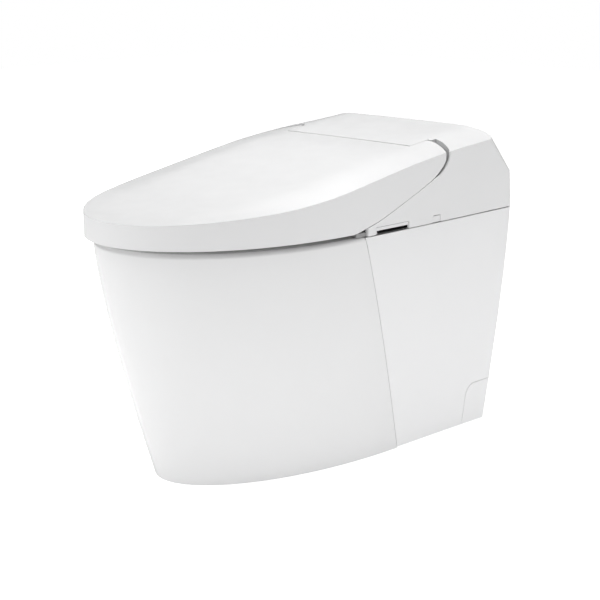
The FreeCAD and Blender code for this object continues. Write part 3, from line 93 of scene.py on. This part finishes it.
# Shader building
class Shader:
    """A material's node tree, with short calls for the nodes that it needs."""

    def __init__(self, name):
        self.material = bpy.data.materials.new(name)
        self.material.use_nodes = True
        self.tree = self.material.node_tree
        self.tree.nodes.clear()
        self.output = self.add("ShaderNodeOutputMaterial")
        self.surface = self.add("ShaderNodeBsdfPrincipled")
        self.join(self.surface, "BSDF", self.output, "Surface")
        self.place = self.add("ShaderNodeTexCoord")

    def add(self, kind, **settings):
        node = self.tree.nodes.new(kind)
        for key, value in settings.items():
            setattr(node, key, value)
        return node

    def join(self, source, out, target, into):
        self.tree.links.new(source.outputs[out], target.inputs[into])

    def set(self, **values):
        for key, value in values.items():
            self.surface.inputs[key.replace("_", " ")].default_value = value

    def stretched(self, scale):
        """The object's coordinates, scaled on each axis."""
        mapping = self.add("ShaderNodeMapping")
        mapping.inputs["Scale"].default_value = scale
        self.join(self.place, "Object", mapping, "Vector")
        return mapping

    def noise(self, size, detail=2.0, roughness=0.5, scale=(1, 1, 1)):
        """Noise whose blobs are about one size, in metres, across."""
        texture = self.add("ShaderNodeTexNoise")
        texture.inputs["Scale"].default_value = 1.0 / size
        texture.inputs["Detail"].default_value = detail
        texture.inputs["Roughness"].default_value = roughness
        self.join(self.stretched(scale), "Vector", texture, "Vector")
        return texture

    def ramp(self, source, out, stops):
        ramp = self.add("ShaderNodeValToRGB")
        ramp.color_ramp.elements[0].position = stops[0][0]
        ramp.color_ramp.elements[0].color = (*stops[0][1], 1)
        ramp.color_ramp.elements[1].position = stops[-1][0]
        ramp.color_ramp.elements[1].color = (*stops[-1][1], 1)
        for position, colour in stops[1:-1]:
            ramp.color_ramp.elements.new(position).color = (*colour, 1)
        self.join(source, out, ramp, "Fac")
        return ramp

    def span(self, source, out, low, high):
        """A texture's full swing taken to a range of values."""
        span = self.add("ShaderNodeMapRange")
        span.inputs["From Min"].default_value = NOISE_LOW
        span.inputs["From Max"].default_value = NOISE_HIGH
        span.inputs["To Min"].default_value = low
        span.inputs["To Max"].default_value = high
        self.join(source, out, span, "Value")
        return span

    def tint(self, colour, spread, size):
        """A base colour that drifts slightly over the surface."""
        dark = tuple(c * (1 - spread) for c in colour)
        light = tuple(min(1.0, c * (1 + spread)) for c in colour)
        drift = self.noise(size, detail=3.0)
        ramp = self.ramp(drift, "Fac", [(NOISE_LOW, dark), (NOISE_HIGH, light)])
        self.join(ramp, "Color", self.surface, "Base Color")

    def polish(self, low, high, size):
        """Roughness that varies between two values."""
        patches = self.noise(size, detail=4.0)
        self.join(self.span(patches, "Fac", low, high), "Result", self.surface, "Roughness")

    def relief(self, layers, edge=0.0):
        """Stacked bumps, each a texture output with its depth in metres, over softly rounded edges."""
        previous = None
        if edge:
            bevel = self.add("ShaderNodeBevel", samples=BEVEL_SAMPLES)
            bevel.inputs["Radius"].default_value = edge
            previous = bevel
        for texture, out, depth in layers:
            bump = self.add("ShaderNodeBump")
            bump.inputs["Strength"].default_value = 1.0
            bump.inputs["Distance"].default_value = depth
            self.join(texture, out, bump, "Height")
            if previous:
                self.join(previous, "Normal", bump, "Normal")
            previous = bump
        if previous:
            self.join(previous, "Normal", self.surface, "Normal")


def glaze():
    """Vitreous china: clear hard glaze over a white body, with a faint long ripple."""
    s = Shader("glaze")
    s.set(Metallic=0.0, IOR=1.50, Coat_Weight=0.1, Coat_Roughness=0.03, Coat_IOR=1.5)
    s.tint((0.865, 0.866, 0.868), 0.006, 0.18)
    s.polish(0.10, 0.16, 0.05)
    ripple = s.noise(0.055, 1.5)
    skin = s.noise(0.006, 2.0)
    s.relief([(ripple, "Fac", 0.00022), (skin, "Fac", 0.000012)], edge=0.0012)
    return s.material


def moulded(name, colour, low, high, grain=0.0016, depth=0.000003, edge=0.0007, coat=0.0, spread=0.006):
    """Moulded plastic: fine grain of the tool's surface, long sink ripple, softened edges."""
    s = Shader(name)
    s.set(Metallic=0.0, IOR=1.49, Coat_Weight=coat, Coat_Roughness=0.06)
    s.tint(colour, spread, 0.12)
    s.polish(low, high, 0.03)
    fine = s.noise(grain, 3.0, 0.6)
    long = s.noise(0.09, 1.0)
    s.relief([(long, "Fac", 0.00012), (fine, "Fac", depth)], edge=edge)
    return s.material


def rubber(name, colour):
    s = Shader(name)
    s.set(Metallic=0.0, IOR=1.5)
    s.tint(colour, 0.05, 0.01)
    s.polish(0.55, 0.75, 0.006)
    s.relief([(s.noise(0.0009, 4.0, 0.7), "Fac", 0.00005)], edge=0.0006)
    return s.material


def metal(name, colour, low, high, along=(1, 1, 18), depth=0.00001):
    """Metal with brushing drawn out across one axis."""
    s = Shader(name)
    s.set(Metallic=1.0)
    s.tint(colour, 0.06, 0.02)
    brush = s.noise(0.02, 6.0, 0.6, scale=along)
    s.join(s.span(brush, "Fac", low, high), "Result", s.surface, "Roughness")
    s.relief([(brush, "Fac", depth)], edge=0.0004)
    return s.material


def circuit():
    """Green board: solder mask, tracks and pads."""
    s = Shader("pcb")
    s.set(Metallic=0.0, IOR=1.5)
    brick = s.add("ShaderNodeTexBrick")
    brick.inputs["Scale"].default_value = 160.0
    brick.inputs["Mortar Size"].default_value = 0.06
    brick.inputs["Color1"].default_value = (0.02, 0.13, 0.05, 1)
    brick.inputs["Color2"].default_value = (0.015, 0.10, 0.04, 1)
    brick.inputs["Mortar"].default_value = (0.09, 0.28, 0.10, 1)
    s.join(s.place, "Object", brick, "Vector")
    s.join(brick, "Color", s.surface, "Base Color")
    s.polish(0.3, 0.45, 0.01)
    s.relief([(brick, "Fac", 0.00006)], edge=0.0003)
    return s.material


def braided():
    """Stainless braid on a hose."""
    s = Shader("hose")
    s.set(Metallic=0.85)
    wave = s.add("ShaderNodeTexWave", bands_direction="DIAGONAL")
    wave.inputs["Scale"].default_value = 260.0
    wave.inputs["Distortion"].default_value = 1.2
    s.join(s.place, "Object", wave, "Vector")
    colour = s.ramp(wave, "Fac", [(0.2, (0.18, 0.18, 0.19)), (0.8, (0.52, 0.53, 0.54))])
    s.join(colour, "Color", s.surface, "Base Color")
    s.polish(0.28, 0.42, 0.01)
    s.relief([(wave, "Fac", 0.0003)])
    return s.material


WHITE = (0.872, 0.873, 0.876)
finishes = {
    "glaze": glaze(),
    "shell": moulded("shell", WHITE, 0.22, 0.27, depth=0.000002, coat=0.12),
    "cover": moulded("cover", (0.912, 0.913, 0.917), 0.28, 0.33),
    "seat": moulded("seat", (0.884, 0.883, 0.880), 0.25, 0.27, edge=0.0012),
    "liner": moulded("liner", (0.835, 0.836, 0.838), 0.42, 0.55, 0.0006, 0.000025),
    "grey_trim": moulded("grey_trim", (0.26, 0.27, 0.28), 0.40, 0.55, 0.0006, 0.00003, spread=0.03),
    "dark_trim": moulded("dark_trim", (0.012, 0.012, 0.014), 0.35, 0.50, 0.0006, 0.00003, spread=0.08),
    "window": moulded("window", (0.012, 0.012, 0.015), 0.08, 0.12, 0.0009, coat=0.6, spread=0.05),
    "rubber": rubber("rubber", (0.34, 0.34, 0.34)),
    "steel": metal("steel", (0.58, 0.58, 0.59), 0.22, 0.36),
    "foil": metal("foil", (0.70, 0.70, 0.71), 0.18, 0.30, along=(6, 1, 1), depth=0.00006),
    "brass": metal("brass", (0.52, 0.35, 0.13), 0.24, 0.34),
    "pcb": circuit(),
    "hose": braided(),
    "tank": moulded("tank", (0.66, 0.68, 0.70), 0.34, 0.46, 0.0012, 0.00004, spread=0.02),
}
for part in frame["record"]["subparts"]:
    shown = nodes[part["node"]]
    shown.data.materials.clear()
    shown.data.materials.append(finishes[part["material_slot"]])


# Studio
def backdrop():
    """White table, softly lit from below, that shows white to the camera and keeps the object's shadow."""
    mesh = bpy.data.meshes.new("floor")
    half = FLOOR_SIZE / 2
    corners = [(-half, -half, 0), (half, -half, 0), (half, half, 0), (-half, half, 0)]
    mesh.from_pydata(corners, [], [(0, 1, 2, 3)])
    floor = bpy.data.objects.new("floor", mesh)
    scene.collection.objects.link(floor)
    material = bpy.data.materials.new("floor")
    material.use_nodes = True
    tree = material.node_tree
    tree.nodes.clear()
    output = tree.nodes.new("ShaderNodeOutputMaterial")
    diffuse = tree.nodes.new("ShaderNodeBsdfDiffuse")
    diffuse.inputs["Color"].default_value = (*FLOOR_COLOUR, 1)
    seen = tree.nodes.new("ShaderNodeLightPath")
    shine = tree.nodes.new("ShaderNodeMath")
    shine.operation = "MULTIPLY_ADD"
    tree.links.new(seen.outputs["Is Glossy Ray"], shine.inputs[0])
    shine.inputs[1].default_value = -FLOOR_DIM
    shine.inputs[2].default_value = FLOOR_GLOW
    level = tree.nodes.new("ShaderNodeMath")
    level.operation = "MULTIPLY_ADD"
    tree.links.new(seen.outputs["Is Camera Ray"], level.inputs[0])
    level.inputs[1].default_value = FLOOR_LIFT
    tree.links.new(shine.outputs[0], level.inputs[2])
    glow = tree.nodes.new("ShaderNodeEmission")
    tree.links.new(level.outputs[0], glow.inputs["Strength"])
    both = tree.nodes.new("ShaderNodeAddShader")
    tree.links.new(diffuse.outputs[0], both.inputs[0])
    tree.links.new(glow.outputs[0], both.inputs[1])
    tree.links.new(both.outputs[0], output.inputs["Surface"])
    floor.data.materials.append(material)


def dome():
    """Soft white surround, a little brighter overhead and dimmer on two sides."""
    world = bpy.data.worlds.new("dome")
    scene.world = world
    world.use_nodes = True
    tree = world.node_tree
    tree.nodes.clear()

    def math_node(operation, a, b=None):
        node = tree.nodes.new("ShaderNodeMath")
        node.operation = operation
        for slot, value in enumerate((a, b)):
            if value is None:
                continue
            if isinstance(value, (int, float)):
                node.inputs[slot].default_value = value
            else:
                tree.links.new(value, node.inputs[slot])
        return node.outputs[0]

    output = tree.nodes.new("ShaderNodeOutputWorld")
    place = tree.nodes.new("ShaderNodeTexCoord")
    axes = tree.nodes.new("ShaderNodeSeparateXYZ")
    tree.links.new(place.outputs["Generated"], axes.inputs[0])
    up = math_node("MAXIMUM", axes.outputs["Z"], 0.0)
    level = math_node("ADD", math_node("MULTIPLY", up, DOME_HIGH - DOME_LOW), DOME_LOW)
    for side, depth in DIM_SIDES:
        dot = tree.nodes.new("ShaderNodeVectorMath")
        dot.operation = "DOT_PRODUCT"
        tree.links.new(place.outputs["Generated"], dot.inputs[0])
        dot.inputs[1].default_value = Vector(side).normalized()
        facing = math_node("POWER", math_node("MAXIMUM", dot.outputs["Value"], 0.0), DIM_SHARPNESS)
        level = math_node("SUBTRACT", level, math_node("MULTIPLY", facing, depth))
    light = tree.nodes.new("ShaderNodeBackground")
    tree.links.new(level, light.inputs["Strength"])
    white = tree.nodes.new("ShaderNodeBackground")
    white.inputs["Color"].default_value = (1, 1, 1, 1)
    light.inputs["Color"].default_value = (1, 1, 1, 1)
    seen = tree.nodes.new("ShaderNodeLightPath")
    choice = tree.nodes.new("ShaderNodeMixShader")
    tree.links.new(seen.outputs["Is Camera Ray"], choice.inputs["Fac"])
    tree.links.new(light.outputs[0], choice.inputs[1])
    tree.links.new(white.outputs[0], choice.inputs[2])
    tree.links.new(choice.outputs[0], output.inputs["Surface"])


def softbox(name, place, side, watts):
    lamp = bpy.data.lights.new(name, "AREA")
    lamp.shape = "RECTANGLE"
    lamp.size = side
    lamp.size_y = side
    lamp.energy = watts
    box = bpy.data.objects.new(name, lamp)
    box.location = place
    box.rotation_mode = "QUATERNION"
    box.rotation_quaternion = (Vector(LAMP_AIM) - Vector(place)).to_track_quat("-Z", "Y")
    scene.collection.objects.link(box)


def camera():
    data = bpy.data.cameras.new("camera")
    data.sensor_width = SENSOR
    data.lens = FOCAL_PIXELS / IMAGE_WIDTH * SENSOR
    data.clip_end = CAMERA_REACH
    view = bpy.data.objects.new("camera", data)
    view.location = CAMERA_PLACE
    view.rotation_mode = "QUATERNION"
    view.rotation_quaternion = Vector(CAMERA_AHEAD).to_track_quat("-Z", "Y")
    scene.collection.objects.link(view)
    scene.camera = view


backdrop()
dome()
for box in SOFTBOXES:
    softbox(*box)
camera()

bpy.context.view_layer.update()
